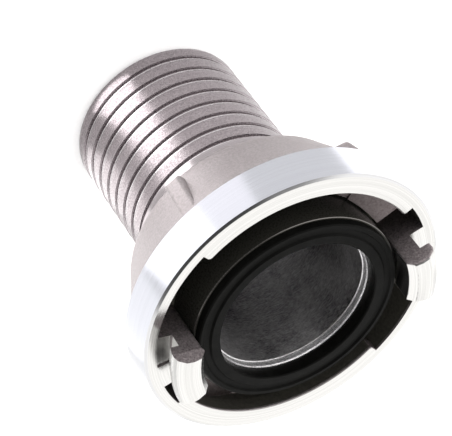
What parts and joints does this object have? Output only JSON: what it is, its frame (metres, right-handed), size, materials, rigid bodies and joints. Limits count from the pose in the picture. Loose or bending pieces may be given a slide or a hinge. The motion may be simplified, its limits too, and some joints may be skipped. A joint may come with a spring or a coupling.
{
  "type": "symmetric two-lug hose coupling",
  "caption": "Hose coupling with a rotating claw-lug ring, rubber face seal and a grooved tail that the hose is bound on.",
  "frame": {"origin": "centre of the hose end of the tail, on its end face", "axes": "+Z along the waterway, out of the mating face; +X through the middle of one lug; +Y square to both"},
  "size_m": [0.1292, 0.1292, 0.1371],
  "materials": {
    "ring_metal": "turned rim and face, matte blasted casting behind",
    "tail_metal": "turned, satin",
    "seal_rubber": "moulded, matte black",
    "spring_steel": "drawn wire"
  },
  "bodies": {
    "tail": {"hose_tail": "tail_metal", "face_seal": "seal_rubber", "snap_ring": "spring_steel"},
    "lug_ring": {"lug_ring": "ring_metal"}
  },
  "joints": [
    {"name": "ring_swivel", "type": "hinge", "parent": "tail", "child": "lug_ring", "pos_m": [0, 0, 0.1], "axis": [0, 0, 1], "continuous": true}
  ]
}
